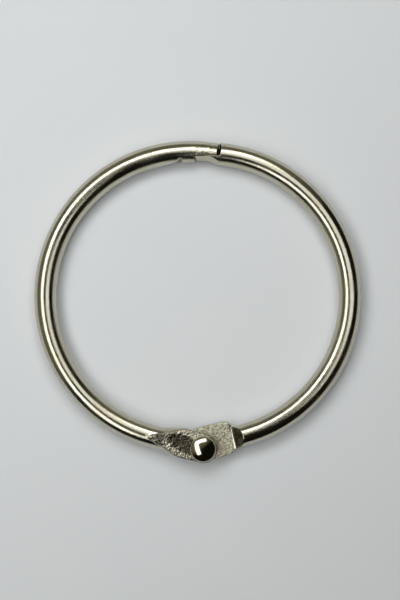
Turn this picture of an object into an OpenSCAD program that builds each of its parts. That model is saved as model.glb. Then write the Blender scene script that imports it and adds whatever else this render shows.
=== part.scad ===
// Hinged binder ring: two half rings of round wire, joined by a rivet through their
// flattened eyes and closed by a lapped lock at the far side.
// Millimetres. The ring lies flat in the XY plane, +Z up, with the hinge towards -Y.
// The origin is the middle of the ring's outer box, at the height it rests on.

/* [Ring] */
// Width across the closed ring, from side to side
ring_w = 44; // [36:0.5:76]
// Diameter of the round wire
wire_d = 3; // [2.4:0.1:3.8]
// Distance between the arc centres of the two halves
arc_spread = 2.25; // [1.5:0.05:3]
// How much larger the left half's radius is than the right half's
radius_diff = 0.2; // [0:0.02:0.4]

/* [Hinge] */
// Distance of the rivet's axis to the right of the ring's middle
rivet_shift = 0.63; // [0:0.01:1.2]
// Distance of the rivet's axis outside the wire's centre line
rivet_drop = 0.92; // [0.8:0.02:1.8]
// How far each flattened face lies below the crown of the wire
crown_cut = 0.2; // [0.1:0.05:0.35]
// Length over which the crown of the wire slopes down to the flattened face
crown_slope = 2.8; // [1.5:0.1:3]
// Distance from the rivet to the foot of the step into the lap
step_foot = 4.3; // [4:0.05:4.5]
// Length of the step's slope, seen from above
step_run = 1.3; // [0.8:0.05:1.6]
// Turn of the step's foot away from square to the wire
step_skew = 4; // [0:1:9]
// Width of the left eye, and diameter of its round end
left_eye_w = 4; // [3.6:0.05:4.6]
// Distance from the rivet to where the left eye starts to narrow
left_eye_len = 3.4; // [3:0.1:3.8]
// Length over which the left eye narrows to the wire
left_eye_taper = 2.2; // [1.5:0.1:2.5]
// Diameter of the right eye's round end
right_eye_d = 4.7; // [4.2:0.1:5.4]
// Distance of the right eye's round end inwards from the rivet
right_eye_shift = 0.35; // [0:0.05:0.6]
// Width of the right eye at its rounded shoulders
right_neck_w = 4.5; // [3.8:0.1:4.8]
// Distance from the rivet to the middle of those shoulders
right_neck_x = 3; // [2.6:0.1:3.4]
// Distance of the shoulders inwards from the line of the wire
right_neck_shift = 0.25; // [0:0.05:0.3]
// Clearance between the two eyes, and between the lower eye and the rivet's tail
face_gap = 0.04; // [0.02:0.01:0.1]

/* [Rivet] */
// Diameter of the rivet's shank
shank_d = 1.8; // [1.4:0.1:2.4]
// Radial clearance of the shank in both eyes
shank_gap = 0.04; // [0.02:0.01:0.08]
// Diameter of the domed head
head_d = 3.5; // [3:0.1:3.9]
// Height of the domed head
head_h = 1.3; // [0.8:0.05:1.6]
// Height of the upright rim below the dome
head_rim_h = 0.15; // [0.05:0.05:0.3]
// Diameter of the peened tail
tail_d = 3; // [2.6:0.1:3.6]
// Diameter of the flat at the bottom of the tail
tail_flat_d = 2; // [1.4:0.1:2.2]
// Height of the peened tail
tail_h = 0.45; // [0.35:0.05:0.6]

/* [Lock] */
// Distance of the outer seam to the right of the ring's middle
seam_x = 2.72; // [2:0.02:3.5]
// Width of the open seam on the outside
seam_gap = 0.5; // [0.2:0.05:0.8]
// Thickness of the left half's outer lap, from the outside of the wire
lap_t = 1.75; // [1.4:0.05:1.9]
// Clearance between the two lapped faces
lap_gap = 0.06; // [0.04:0.01:0.15]
// Length of the right half's tongue, from the outer seam
tongue_len = 2.9; // [2.4:0.05:3.6]
// Slant of the tongue's tip across its thickness
tongue_slant = 0.42; // [0:0.02:0.8]
// Clearance beyond the tongue's tip
tip_gap = 0.2; // [0.1:0.05:0.5]
// Thickness of the closed lock, where its inner side is pressed in
lock_t = 2.5; // [2.3:0.05:2.7]
// Where the pressed inner side starts, to the left of the ring's middle
press_left = 2.6; // [2.2:0.1:3.4]
// Where the pressed inner side ends, to the right of the ring's middle
press_right = 1.4; // [0.8:0.1:1.8]
// Length of the slope into the pressed side, on the left
press_run_left = 0.9; // [0.4:0.1:1.4]
// Length of the slope out of the pressed side, on the right
press_run_right = 1.2; // [0.4:0.1:1.6]

/* [Hidden] */
$fn = 96;
nickel = [0.66, 0.64, 0.58];

wire_r = wire_d / 2;
eye_t = wire_r - crown_cut;
core_end = step_foot - wire_r;
mean_r = (ring_w - wire_d - arc_spread) / 2;
left_r = mean_r + radius_diff / 2;
right_r = mean_r - radius_diff / 2;
left_centre = [-arc_spread / 2, 0];
right_centre = [arc_spread / 2, 0];
rivet_at = [rivet_shift, -mean_r - rivet_drop];

// Each arm is the straight line from the rivet that touches its half's arc
function from_rivet(p) = p - rivet_at;
function heading(v) = atan2(v[1], v[0]);
function arm_len(centre, r) = sqrt(pow(norm(from_rivet(centre)), 2) - r * r);
function arm_lean(centre, r) = asin(r / norm(from_rivet(centre)));
left_arm_len = arm_len(left_centre, left_r);
right_arm_len = arm_len(right_centre, right_r);
left_arm_dir = heading(from_rivet(left_centre)) + arm_lean(left_centre, left_r);
right_arm_dir = heading(from_rivet(right_centre)) - arm_lean(right_centre, right_r);

// The lapped faces are round about the rivet, so they slide past each other
function outside_y(x) = sqrt(pow(left_r + wire_r, 2) - pow(x - left_centre[0], 2));
lap_r = norm(from_rivet([seam_x, outside_y(seam_x)])) - lap_t;
function lap_y(x) = rivet_at[1] + sqrt(pow(lap_r, 2) - pow(x - rivet_at[0], 2));
press_r = outside_y(0) - lock_t;
tip_x = seam_x - tongue_len;

// Both arcs run past the lock by this angle, and the cuts trim them
end_spare = 3;
left_end = 90 - asin((seam_x - left_centre[0]) / left_r) - end_spare;
right_end = 90 + asin((right_centre[0] - tip_x) / right_r) + end_spare;
left_sweep = left_arm_dir + 90 - left_end;
right_sweep = right_end - right_arm_dir + 90;

// How far straight sides sink into the round form that they run into
side_sink = 0.01;

reach = 2 * ring_w;
cut_h = 2 * wire_d;
bottom_z = -eye_t - face_gap - tail_h;
right_x = right_centre[0] + right_r + wire_r;
left_x = left_centre[0] - left_r - wire_r;
top_y = left_r + wire_r;
bottom_y = rivet_at[1] - max(left_eye_w, head_d) / 2;

// Moves the ring from its working place, about the arcs, to the part's own frame
module to_frame() {
  translate([-(left_x + right_x) / 2, -(top_y + bottom_y) / 2, -bottom_z]) children();
}

// A flat shape stood through the whole thickness of the wire, above and below its middle
module through() {
  translate([0, 0, -wire_d]) linear_extrude(cut_h) children();
}

// Two discs joined by straight sides that run into them just short of their tangents
module round_plate(r1, p1, r2, p2) {
  lean = acos((r1 - r2) / norm(p2 - p1));
  along = heading(p2 - p1);
  function rim(p, r, a) = p + (r - side_sink) * [cos(along + a), sin(along + a)];
  translate(p1) circle(r = r1);
  translate(p2) circle(r = r2);
  polygon([rim(p1, r1, lean), rim(p2, r2, lean), rim(p2, r2, -lean), rim(p1, r1, -lean)]);
}

module left_eye_outline() {
  r = left_eye_w / 2;
  far = left_eye_len + left_eye_taper;
  end_r = wire_r - side_sink;
  circle(r = r);
  polygon([[0, r], [left_eye_len, r], [far, end_r], [far, -end_r], [left_eye_len, -r], [0, -r]]);
}

module right_eye_outline() {
  round_plate(
    right_eye_d / 2, [0, right_eye_shift],
    right_neck_w / 2, [right_neck_x, right_neck_shift]
  );
}

// The straight end of a half ring with the rivet at the origin and the wire along +X.
// The eye is the lower layer, and its top face is the lap.
module flattened_arm(length) {
  lap_z = -face_gap / 2;
  rise = cut_h * wire_r / step_run;
  difference() {
    translate([length, 0, 0]) rotate([0, -90, 0]) cylinder(d = wire_d, h = length - core_end);
    // everything above the lap and its sloped step
    translate([step_foot, 0, lap_z]) rotate(-step_skew)
      rotate([90, 0, 0]) linear_extrude(cut_h, center = true)
        polygon([[-cut_h, 0], [0, 0], [cut_h, rise], [-cut_h, rise]]);
  }
  translate([0, 0, -eye_t]) linear_extrude(eye_t + lap_z) children();
}

// One half before its lock is cut: the arm, then the arc that curves on from it towards +Y.
// The bottom of the eye is the flattened crown, and slopes back to the round wire.
module plain_half(length, r, sweep) {
  slope_end = step_foot + crown_slope;
  difference() {
    union() {
      flattened_arm(length) children();
      translate([length, r, 0]) rotate_extrude(start = -90, angle = sweep) translate([r, 0]) circle(d = wire_d);
    }
    rotate([90, 0, 0]) linear_extrude(cut_h, center = true)
      polygon([[0, -cut_h], [0, -eye_t], [step_foot, -eye_t], [slope_end, -wire_r], [slope_end, -cut_h]]);
  }
}

module rivet_hole() {
  translate(rivet_at) cylinder(r = shank_d / 2 + shank_gap, h = cut_h, center = true);
}

// The quarter plane to the right of a line across the wire, radial to the ring's middle
module right_of(x) {
  rotate(-asin(x / mean_r)) translate([0, 0, -wire_d]) cube([reach, reach, cut_h]);
}

// Round block about the rivet that reaches to the lapped faces
module lap_block(r) {
  translate(rivet_at) cylinder(r = r, h = cut_h, center = true);
}

// All that lies to the right of the slanted line of the tongue's tip
module past_tip(shift) {
  tip_y = lap_y(tip_x);
  slope = tongue_slant / (lock_t - lap_t);
  through() polygon([
    [tip_x + shift - slope * wire_d, tip_y + wire_d - lock_t + lap_t],
    [tip_x + shift + slope * wire_d, tip_y - wire_d - lock_t + lap_t],
    [ring_w, tip_y - wire_d],
    [ring_w, tip_y + wire_d],
  ]);
}

// The inner side of the lock, which is pressed outwards between two slopes
module pressed_side() {
  fall_left = wire_d - lock_t;
  intersection() {
    cylinder(r = press_r, h = cut_h, center = true);
    through() polygon([
      [-press_left - 2 * press_run_left, press_r - 2 * fall_left],
      [-press_left, press_r],
      [press_right, press_r],
      [press_right + 2 * press_run_right, press_r - 2 * fall_left],
    ]);
  }
}

// The notch in the left half's end that takes the tongue
module notch() {
  intersection() {
    lap_block(lap_r + lap_gap / 2);
    past_tip(-tip_gap);
  }
}

// Trims the right half's end to the thin tongue with its slanted tip
module tongue_cut() {
  difference() {
    translate([-ring_w, 0, -wire_d]) cube([2 * ring_w, ring_w, cut_h]);
    right_of(seam_x + seam_gap / 2);
    intersection() {
      lap_block(lap_r - lap_gap / 2);
      past_tip(0);
    }
  }
}

module left_half_ring() {
  color(nickel) to_frame() difference() {
    translate(rivet_at) rotate(left_arm_dir) rotate([180, 0, 0])
      plain_half(left_arm_len, left_r, left_sweep) left_eye_outline();
    right_of(seam_x - seam_gap / 2);
    notch();
    pressed_side();
    rivet_hole();
  }
}

module right_half_ring() {
  color(nickel) to_frame() difference() {
    translate(rivet_at) rotate(right_arm_dir)
      plain_half(right_arm_len, right_r, right_sweep) right_eye_outline();
    tongue_cut();
    pressed_side();
    rivet_hole();
  }
}

// A cap of a sphere that stands on the XY plane with an upright rim of height rim_h,
// and is cut flat at its top where flat_d isn't 0
module cap(d, h, rim_h, flat_d) {
  dome_h = h - rim_h;
  below = ((d * d - flat_d * flat_d) / 4 - dome_h * dome_h) / (2 * dome_h);
  trim_d = rim_h > 0 ? d : 2 * d;
  trim_h = flat_d > 0 ? h : 2 * h;
  intersection() {
    translate([0, 0, rim_h - below]) sphere(r = norm([below, d / 2]));
    cylinder(d = trim_d, h = trim_h);
  }
}

module rivet() {
  color(nickel) to_frame() translate(rivet_at) {
    translate([0, 0, -eye_t - face_gap]) cylinder(d = shank_d, h = 2 * eye_t + face_gap);
    translate([0, 0, eye_t]) cap(head_d, head_h, head_rim_h, 0);
    translate([0, 0, -eye_t - face_gap]) mirror([0, 0, 1]) cap(tail_d, tail_h, 0, tail_flat_d);
  }
}

left_half_ring();
right_half_ring();
rivet();
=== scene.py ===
"""Visual model of a hinged binder ring of round nickel-plated wire.

Two half rings of wire are riveted together through their coined eyes, and close with a
lapped lock. The pieces are modelled in millimetres about the middle of the wire's arcs,
with +Z towards the rivet's head, and moved to the frame's metres when they are finished.
"""

import logging
import math
from collections.abc import Callable, Iterator
from contextlib import contextmanager
from dataclasses import dataclass
from enum import Enum

import bmesh
import bpy
from mathutils import Matrix, Vector


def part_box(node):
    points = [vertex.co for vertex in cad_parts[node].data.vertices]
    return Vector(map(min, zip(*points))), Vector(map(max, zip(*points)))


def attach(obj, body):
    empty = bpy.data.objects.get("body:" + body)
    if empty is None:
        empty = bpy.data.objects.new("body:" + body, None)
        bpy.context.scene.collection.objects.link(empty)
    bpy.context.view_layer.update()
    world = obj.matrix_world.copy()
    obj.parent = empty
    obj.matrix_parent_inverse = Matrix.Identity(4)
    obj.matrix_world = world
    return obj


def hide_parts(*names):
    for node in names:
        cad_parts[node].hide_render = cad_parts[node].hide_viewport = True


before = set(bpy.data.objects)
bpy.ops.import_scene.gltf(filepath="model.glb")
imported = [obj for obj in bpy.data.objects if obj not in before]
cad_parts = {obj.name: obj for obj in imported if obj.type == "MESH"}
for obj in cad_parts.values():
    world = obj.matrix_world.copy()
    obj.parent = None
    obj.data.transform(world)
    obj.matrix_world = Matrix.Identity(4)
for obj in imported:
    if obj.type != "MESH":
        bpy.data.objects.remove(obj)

LOG = logging.getLogger("binder_ring")
MM = 0.001
TOUCH = 1e-4  # Places nearer to each other than this are the same, in millimetres
WELD = 1e-5  # Vertices nearer to each other than this are made one
CUT_REACH = 8.0  # How far a cutting tool reaches, more than any wire that it cuts
LOCK_BAND = (10.0, 30.0)  # Reach of the seam's tools, out from the ring's middle
SPARE_DEG = 1.5  # What a formed end's wire is longer than needed before it is trimmed
FINE_SIDES = 720  # Sides of the round tools that follow the ring or the rivet's turn
Colour = tuple[float, float, float, float]


class Side(Enum):
    """Which half of the ring: its eye lies over or under the other one."""

    LEFT = "left"
    RIGHT = "right"

    @property
    def turn(self) -> int:
        """The way round its arc from the hinge: 1 if counter-clockwise from above."""
        return -1 if self is Side.LEFT else 1


# ---------------------------------------------------------------------------------------
# Modelling helpers


def select_only(*objects: bpy.types.Object) -> None:
    """Selects these objects alone and makes the first of them active.

    Args:
        objects: The objects to select.
    """
    for other in bpy.context.selected_objects:
        other.select_set(False)
    for obj in objects:
        obj.select_set(True)
    bpy.context.view_layer.objects.active = objects[0] if objects else None


@contextmanager
def editing(obj: bpy.types.Object, mode: str = "VERT") -> Iterator[None]:
    """Opens an object in edit mode with everything selected, and closes it again.

    Args:
        obj: The object to edit.
        mode: The selection mode, VERT, EDGE or FACE.
    """
    select_only(obj)
    bpy.ops.object.mode_set(mode="EDIT")
    bpy.ops.mesh.select_mode(type=mode)
    bpy.ops.mesh.select_all(action="SELECT")
    try:
        yield
    finally:
        bpy.ops.object.mode_set(mode="OBJECT")


def select_vertices(obj: bpy.types.Object, test: Callable[[Vector], bool]) -> None:
    """Selects the vertices whose place passes a test, in edit mode.

    Args:
        obj: The object in edit mode.
        test: Says of a place whether its vertex is selected.
    """
    mesh = bmesh.from_edit_mesh(obj.data)
    for vert in mesh.verts:
        vert.select_set(test(vert.co))
    mesh.select_flush_mode()
    bmesh.update_edit_mesh(obj.data)


def select_edges(obj: bpy.types.Object, test: Callable[[bmesh.types.BMEdge], bool]) -> None:
    """Selects the edges that pass a test, in edit mode.

    Args:
        obj: The object in edit mode.
        test: Says of an edge whether it is selected.
    """
    mesh = bmesh.from_edit_mesh(obj.data)
    bpy.ops.mesh.select_all(action="DESELECT")
    for edge in mesh.edges:
        if test(edge):
            edge.select_set(True)
    bmesh.update_edit_mesh(obj.data)


def apply_transform(obj: bpy.types.Object, matrix: Matrix | None = None) -> None:
    """Puts an object's place and turn, and a further one if given, into its mesh.

    Args:
        obj: The object to settle.
        matrix: A transform to make first, in the modelling space.
    """
    if matrix is not None:
        obj.matrix_world = matrix @ obj.matrix_world
    select_only(obj)
    bpy.ops.object.transform_apply(location=True, rotation=True, scale=True)


def use_modifier(obj: bpy.types.Object, kind: str, **settings: object) -> None:
    """Adds a modifier, sets it and applies it.

    Args:
        obj: The object to change.
        kind: The modifier's type.
        settings: Its properties.
    """
    select_only(obj)
    modifier = obj.modifiers.new(kind.lower(), kind)
    for name, value in settings.items():
        setattr(modifier, name, value)
    bpy.ops.object.modifier_apply(modifier=modifier.name)


def combine(obj: bpy.types.Object, tool: bpy.types.Object, operation: str) -> None:
    """Cuts an object with a closed tool, or keeps what they share, and removes the tool.

    Args:
        obj: The object to change.
        tool: The closed object that cuts it.
        operation: DIFFERENCE, INTERSECT or UNION.
    """
    use_modifier(obj, "BOOLEAN", object=tool, operation=operation, solver="MANIFOLD")
    bpy.data.objects.remove(tool, do_unlink=True)


def join(name: str, *objects: bpy.types.Object) -> bpy.types.Object:
    """Joins objects into the first one and names it.

    Args:
        name: The joined object's name.
        objects: The objects, of which the first stays.

    Returns:
        The joined object.
    """
    select_only(*objects)
    if len(objects) > 1:
        bpy.ops.object.join()
    objects[0].name = name
    objects[0].data.name = name
    return objects[0]


def close_and_orient(obj: bpy.types.Object) -> None:
    """Caps an object's open ends and turns all its faces outwards.

    Args:
        obj: The object to close.
    """
    with editing(obj):
        bpy.ops.mesh.remove_doubles(threshold=WELD)
        bpy.ops.mesh.fill_holes(sides=0)
        bpy.ops.mesh.select_all(action="SELECT")
        bpy.ops.mesh.normals_make_consistent(inside=False)


def block(low: tuple[float, float, float], high: tuple[float, float, float]) -> bpy.types.Object:
    """A box between two corners.

    Args:
        low: Its lowest corner.
        high: Its highest corner.

    Returns:
        The box, with its place in its mesh.
    """
    middle = [(a + b) / 2 for a, b in zip(low, high)]
    size = [b - a for a, b in zip(low, high)]
    bpy.ops.mesh.primitive_cube_add(size=1.0, location=middle, scale=size)
    obj = bpy.context.active_object
    apply_transform(obj)
    return obj


def disc(
    radius: float, centre: tuple[float, float], low: float, high: float, sides: int = 96
) -> bpy.types.Object:
    """An upright cylinder between two heights.

    Args:
        radius: Its radius.
        centre: Its middle in plan.
        low: The height of its bottom.
        high: The height of its top.
        sides: How many sides it has.

    Returns:
        The cylinder, with its place in its mesh.
    """
    bpy.ops.mesh.primitive_cylinder_add(
        vertices=sides, radius=radius, depth=high - low, location=(*centre, (low + high) / 2)
    )
    obj = bpy.context.active_object
    apply_transform(obj)
    return obj


def level_vector(angle: float, x: float = 1.0, y: float = 0.0) -> Vector:
    """A level vector, turned.

    Args:
        angle: The turn in degrees, counter-clockwise from above.
        x: The vector's length along the turned X axis.
        y: Its length along the turned Y axis.

    Returns:
        The turned vector.
    """
    return Matrix.Rotation(math.radians(angle), 3, "Z") @ Vector((x, y, 0.0))


def turn_about(point: Vector, angle: float) -> Matrix:
    """A turn about the upright line through a point.

    Args:
        point: The point that stays.
        angle: The turn in degrees, counter-clockwise from above.

    Returns:
        The transform.
    """
    turn = Matrix.Rotation(math.radians(angle), 4, "Z")
    return Matrix.Translation(point) @ turn @ Matrix.Translation(-point)


def clamp(value: float) -> float:
    """Keeps a number between 0 and 1."""
    return min(1.0, max(0.0, value))


def level_share(facing: float) -> float:
    """How level a skin is, from 0 to 1, that looks up by a share from -1 to 1."""
    return clamp(2.5 * facing - 0.6)


def round_rim(pad: bpy.types.Object, level: float, radius: float) -> None:
    """Rounds the rim of an upright cylinder at its bottom or top.

    Args:
        pad: The cylinder.
        level: Height of the rim.
        radius: Radius of the rounding.
    """

    def on_rim(edge: bmesh.types.BMEdge) -> bool:
        """Says whether an edge is sharp and at the rim's height."""
        level_edge = all(abs(vert.co.z - level) < TOUCH for vert in edge.verts)
        return level_edge and edge.calc_face_angle(0) > 1

    with editing(pad, "EDGE"):
        select_edges(pad, on_rim)
        bpy.ops.mesh.bevel(offset=radius, segments=6, profile=0.5)


def write_mask(obj: bpy.types.Object, name: str, values: list[float]) -> None:
    """Writes a number for each of an object's vertices, which its finish reads.

    Args:
        obj: The object.
        name: The mask's name.
        values: Its values, from 0 to 1.
    """
    mask = obj.data.attributes.new(name, "FLOAT", "POINT")
    mask.data.foreach_set("value", values)


@dataclass(frozen=True)
class Grain:
    """An uneven skin of a formed end.

    Attributes:
        height: Height of the grain.
        size: Width of the grain.
    """

    height: float
    size: float


def roughen(
    obj: bpy.types.Object, weights: list[float], grain: Grain, least: float = 0.01
) -> None:
    """Moves an object's skin in and out by a grain, where its weights say so.

    Args:
        obj: The object to change.
        weights: How far the grain covers each vertex, from 0 to 1.
        grain: The grain.
        least: Weight up to which a vertex is left alone.
    """
    group = obj.vertex_groups.new(name="grain")
    for index, weight in enumerate(weights):
        if weight > least:
            group.add([index], min(weight, 1.0), "REPLACE")
    texture = bpy.data.textures.new("grain", "CLOUDS")
    texture.noise_scale = grain.size
    texture.noise_depth = 1
    settings = {"texture": texture, "texture_coords": "LOCAL", "vertex_group": "grain"}
    use_modifier(obj, "DISPLACE", strength=grain.height, mid_level=0.5, **settings)
    obj.vertex_groups.clear()
    bpy.data.textures.remove(texture)


# ---------------------------------------------------------------------------------------
# The ring's layout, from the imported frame


@dataclass(frozen=True)
class Layout:
    """Where the wires and the rivet are, in millimetres about the arcs' middle.

    Attributes:
        wire_r: Radius of the round wire.
        centre: Centre of each half's arc.
        radius: Radius of each half's centre line.
        rivet: The rivet's axis.
        origin: The arcs' middle in the frame, at the height of the wire's middle.
    """

    wire_r: float
    centre: dict[Side, Vector]
    radius: dict[Side, float]
    rivet: Vector
    origin: Vector

    @classmethod
    def from_frame(cls, arc_spread: float, radius_diff: float) -> "Layout":
        """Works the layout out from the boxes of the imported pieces.

        Args:
            arc_spread: Distance between the two arcs' centres.
            radius_diff: How much larger the left radius is.

        Returns:
            The layout.
        """
        left_low, left_high = (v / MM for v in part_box("left_half_ring"))
        right_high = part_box("right_half_ring")[1] / MM
        rivet_low, rivet_high = (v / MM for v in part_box("rivet"))
        wire_r = (left_high.z - left_low.z) / 2
        left_r = (right_high.x - left_low.x - arc_spread + radius_diff) / 2 - wire_r
        right_r = left_r - radius_diff
        left_x = left_low.x + wire_r + left_r
        middle_y = left_high.y - wire_r - left_r
        middle = Vector((left_x + arc_spread / 2, middle_y, left_low.z + wire_r))
        rivet = (rivet_low + rivet_high) / 2 - middle
        half_spread = Vector((arc_spread / 2, 0.0, 0.0))
        return cls(
            wire_r=wire_r,
            centre={Side.LEFT: -half_spread, Side.RIGHT: half_spread},
            radius={Side.LEFT: left_r, Side.RIGHT: right_r},
            rivet=Vector((rivet.x, rivet.y, 0.0)),
            origin=middle,
        )

    def arm_length(self, side: Side) -> float:
        """Distance from the rivet to where a half's straight arm meets its arc."""
        return math.sqrt((self.centre[side] - self.rivet).length_squared - self.radius[side] ** 2)

    def arm_heading(self, side: Side) -> float:
        """Direction of a half's arm from the rivet.

        Args:
            side: Which half it belongs to.

        Returns:
            The direction in degrees, counter-clockwise from +X.
        """
        to_centre = self.centre[side] - self.rivet
        lean = math.degrees(math.asin(self.radius[side] / to_centre.length))
        return math.degrees(math.atan2(to_centre.y, to_centre.x)) - side.turn * lean

    def arm_to_ring(self, side: Side) -> Matrix:
        """The move from an arm's own space, with the wire along +X and the coined face lowest.

        Args:
            side: Which half the arm belongs to.

        Returns:
            The move to the ring's place.
        """
        flip = Matrix.Rotation(math.pi, 4, "X") if side is Side.LEFT else Matrix.Identity(4)
        turn = Matrix.Rotation(math.radians(self.arm_heading(side)), 4, "Z")
        return Matrix.Translation(self.rivet) @ turn @ flip

    def arc_angle(self, side: Side, x: float) -> float:
        """Angle about a half's arc centre of the point above x on its centre line."""
        return 90 - math.degrees(math.asin((x - self.centre[side].x) / self.radius[side]))

    def arm_angle(self, side: Side) -> float:
        """Angle about a half's arc centre at which its straight arm begins."""
        return self.arm_heading(side) - 90 * side.turn

    def to_frame(self, obj: bpy.types.Object) -> None:
        """Moves a finished piece to the frame's place and metres."""
        apply_transform(obj, Matrix.Scale(MM, 4) @ Matrix.Translation(self.origin))


# ---------------------------------------------------------------------------------------
# Wire and coined ends


@dataclass
class WireBench:
    """Makes and shapes lengths of the round wire.

    Attributes:
        layout: Where the wires lie.
        sides: Number of faces round the wire.
        step_deg: Largest turn of one ring of faces along an arc.
        voxel: Grain of the mesh of a formed end.
        overlap: Gap that is bridged between a formed end and the plain wire.
    """

    layout: Layout
    sides: int = 72
    step_deg: float = 1.2
    voxel: float = 0.055
    overlap: float = 0.12

    def arc(
        self, side: Side, start: float, sweep: float, straight: float = 0.0, closed: bool = False
    ) -> bpy.types.Object:
        """A tube along part of a half's arc, with a straight length before it.

        Args:
            side: Whose arc it follows.
            start: Angle of the arc's start about its centre, in degrees.
            sweep: Angle that it turns, counter-clockwise if positive.
            straight: Length of the straight part that leads to the start.
            closed: Cap both ends.

        Returns:
            The tube.
        """
        centre, radius = self.layout.centre[side], self.layout.radius[side]
        bpy.ops.mesh.primitive_circle_add(
            vertices=self.sides,
            radius=self.layout.wire_r,
            fill_type="NOTHING",
            location=centre + level_vector(start, radius),
            rotation=(math.pi / 2, 0, math.radians(start)),
        )
        tube = bpy.context.active_object
        apply_transform(tube)
        with editing(tube):
            if straight:
                back = level_vector(start, 0.0, -math.copysign(straight, sweep))
                bpy.ops.mesh.extrude_region_move(TRANSFORM_OT_translate={"value": back})
                self._select_ring(tube, centre, start)
            steps = max(2, math.ceil(abs(sweep) / self.step_deg))
            # The spin operator turns clockwise about its axis
            turn = math.radians(-sweep)
            bpy.ops.mesh.spin(steps=steps, angle=turn, center=centre, axis=(0, 0, 1))
        if closed:
            close_and_orient(tube)
        return tube

    def _select_ring(self, tube: bpy.types.Object, centre: Vector, angle: float) -> None:
        """Selects the tube's ring of vertices at an angle about the arc's centre."""
        across = level_vector(angle, 0.0, 1.0)
        select_vertices(tube, lambda co: abs((co - centre).dot(across)) < TOUCH)

    def form(self, parts: list[bpy.types.Object], name: str, smoothing: int) -> bpy.types.Object:
        """Fuses closed parts into one skin and rounds its edges.

        Args:
            parts: Closed parts that overlap each other.
            name: Name of the fused end.
            smoothing: How many times the skin is smoothed.

        Returns:
            The fused end.
        """
        end = join(name, *parts)
        use_modifier(end, "REMESH", mode="VOXEL", voxel_size=self.voxel)
        use_modifier(end, "SMOOTH", factor=0.5, iterations=smoothing)
        return end

    def trim(self, end: bpy.types.Object, side: Side, angle: float, keep_above: bool) -> None:
        """Cuts a formed end off square to its half's arc, and leaves it open there.

        Args:
            end: The formed end.
            side: Whose arc it lies on.
            angle: Angle of the cut about the arc's centre.
            keep_above: Keep what lies counter-clockwise of the cut.
        """
        with editing(end):
            bpy.ops.mesh.bisect(
                plane_co=self.layout.centre[side],
                plane_no=level_vector(angle, 0.0, 1.0),
                clear_inner=keep_above,
                clear_outer=not keep_above,
            )

    def bridge(self, wire: bpy.types.Object, side: Side, angle: float) -> None:
        """Joins the two open rims that face each other about an angle.

        Args:
            wire: The object with the open rims.
            side: Whose arc they lie on.
            angle: Angle of the gap about the arc's centre.
        """
        centre = self.layout.centre[side]
        outward = level_vector(angle)
        across = level_vector(angle, 0.0, 1.0)
        near = 2 * self.overlap

        def faces_the_gap(edge: bmesh.types.BMEdge) -> bool:
            """Says whether an edge of an open rim lies near the gap."""
            middle = (edge.verts[0].co + edge.verts[1].co) / 2 - centre
            return edge.is_boundary and abs(middle.dot(across)) < near and middle.dot(outward) > 0

        with editing(wire, "EDGE"):
            select_edges(wire, faces_the_gap)
            bpy.ops.mesh.bridge_edge_loops()


@dataclass(frozen=True)
class Dish:
    """The shallow hollow that the coining punch left, in the arm's own space.

    Attributes:
        centre: Its middle in plan.
        half_length: Half its length.
        half_width: Half its width.
        depth: Its greatest depth below the coined face.
        turn: Its turn from the arm, in degrees.
        roundness: Half the height of the punch.
    """

    centre: tuple[float, float]
    half_length: float
    half_width: float
    depth: float
    turn: float
    roundness: float = 1.0

    def depth_at(self, x: float, y: float) -> float:
        """Depth of the hollow at a place in plan.

        Args:
            x: The place along the arm.
            y: The place across the arm.

        Returns:
            The depth, or less than 0 outside the hollow.
        """
        turn = math.radians(self.turn)
        dx, dy = x - self.centre[0], y - self.centre[1]
        along = (dx * math.cos(turn) + dy * math.sin(turn)) / self.half_length
        across = (dy * math.cos(turn) - dx * math.sin(turn)) / self.half_width
        return self.depth * (1 - along**2 - across**2)

    def punch(self, face: float) -> bpy.types.Object:
        """The punch that leaves the hollow in a face seen from below.

        Args:
            face: Height of the coined face.

        Returns:
            The punch, in the arm's own space.
        """
        spread = math.sqrt(1 - (1 - self.depth / self.roundness) ** 2)
        bpy.ops.mesh.primitive_uv_sphere_add(segments=96, ring_count=64, radius=1.0)
        punch = bpy.context.active_object
        punch.scale = (self.half_length / spread, self.half_width / spread, self.roundness)
        punch.rotation_euler.z = math.radians(self.turn)
        punch.location = (*self.centre, face + self.depth - self.roundness)
        apply_transform(punch)
        return punch


@dataclass(frozen=True)
class EyeShape:
    """Sizes of a half's coined eye, in the arm's own space.

    Attributes:
        pads: Radius and place of each round part of the outline.
        rim: Radius of the rounding round the coined face.
        lap_rim: Radius of the rounding round the lap face.
        blend_end: Distance at which the eye has become round wire, or None.
        dish: The hollow in the coined face, or None.
    """

    pads: tuple[tuple[float, tuple[float, float]], ...]
    rim: float
    lap_rim: float = 0.06
    blend_end: float | None = None
    dish: Dish | None = None


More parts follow.
